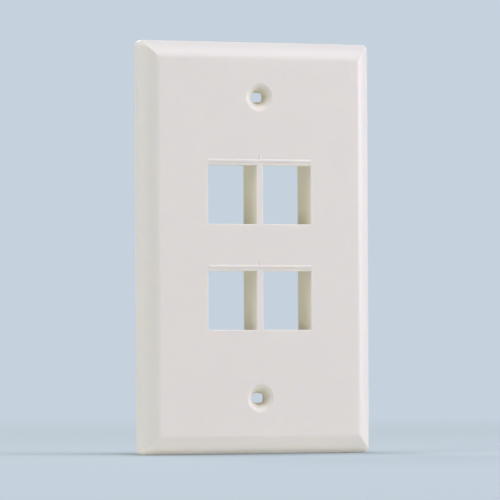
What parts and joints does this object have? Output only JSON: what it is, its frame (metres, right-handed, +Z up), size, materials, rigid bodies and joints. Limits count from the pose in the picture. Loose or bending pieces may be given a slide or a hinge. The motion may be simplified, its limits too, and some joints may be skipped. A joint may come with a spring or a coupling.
{
  "type": "keystone faceplate",
  "caption": "Single-gang wall faceplate with bevelled rim, paired ports for snap-in jacks in two rows, and countersunk screw holes.",
  "frame": {"origin": "centre of the plate on the wall plane", "axes": "+X right and +Z up for someone who faces the plate, -Y out of the face, +Y into the wall"},
  "size_m": [0.0698, 0.0095, 0.1142],
  "materials": {
    "plastic": "satin, warm off-white, fine moulded texture"
  },
  "bodies": {
    "root": {"faceplate": "plastic"}
  },
  "joints": []
}
